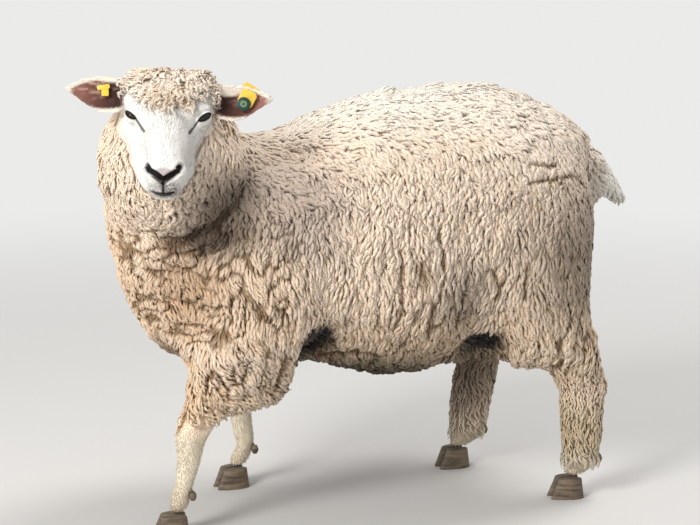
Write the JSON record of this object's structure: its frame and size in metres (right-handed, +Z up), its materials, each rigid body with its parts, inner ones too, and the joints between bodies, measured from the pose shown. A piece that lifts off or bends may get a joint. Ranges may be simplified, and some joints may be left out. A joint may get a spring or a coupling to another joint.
{
  "type": "sheep",
  "caption": "Young white-faced long-woolled sheep in full crimpy cream fleece, walking, with its head turned to look to its left and an ear tag in each ear.",
  "frame": {"origin": "on the ground, under the middle of the sheep's box", "axes": "the sheep faces -X, its left side is -Y, +Z is up"},
  "size_m": [0.9932, 0.486, 0.7666],
  "materials": {
    "fleece": "matte crimped wool in locks",
    "face_hair": "short white hair",
    "leg_hair": "short wool and hair",
    "claw_horn": "satin horn",
    "eye": "wet, glossy",
    "tag_yellow": "satin",
    "tag_button": "satin"
  },
  "bodies": {
    "root": {"trunk": "fleece", "neck": "fleece", "head": "face_hair", "tail": "fleece", "eye_left": "eye", "ear_left": "face_hair", "tag_left": "tag_yellow", "eye_right": "eye", "ear_right": "face_hair", "tag_right": "tag_yellow", "tag_left_button": "tag_button", "forearm_fore_left": "fleece", "cannon_fore_left": "leg_hair", "claw_fore_left_outer": "claw_horn", "dewclaw_fore_left_outer": "claw_horn", "claw_fore_left_inner": "claw_horn", "dewclaw_fore_left_inner": "claw_horn", "forearm_fore_right": "fleece", "cannon_fore_right": "leg_hair", "claw_fore_right_inner": "claw_horn", "dewclaw_fore_right_inner": "claw_horn", "claw_fore_right_outer": "claw_horn", "dewclaw_fore_right_outer": "claw_horn", "thigh_hind_left": "fleece", "cannon_hind_left": "leg_hair", "claw_hind_left_outer": "claw_horn", "dewclaw_hind_left_outer": "claw_horn", "claw_hind_left_inner": "claw_horn", "dewclaw_hind_left_inner": "claw_horn", "thigh_hind_right": "fleece", "cannon_hind_right": "leg_hair", "claw_hind_right_inner": "claw_horn", "dewclaw_hind_right_inner": "claw_horn", "claw_hind_right_outer": "claw_horn", "dewclaw_hind_right_outer": "claw_horn"}
  },
  "joints": []
}
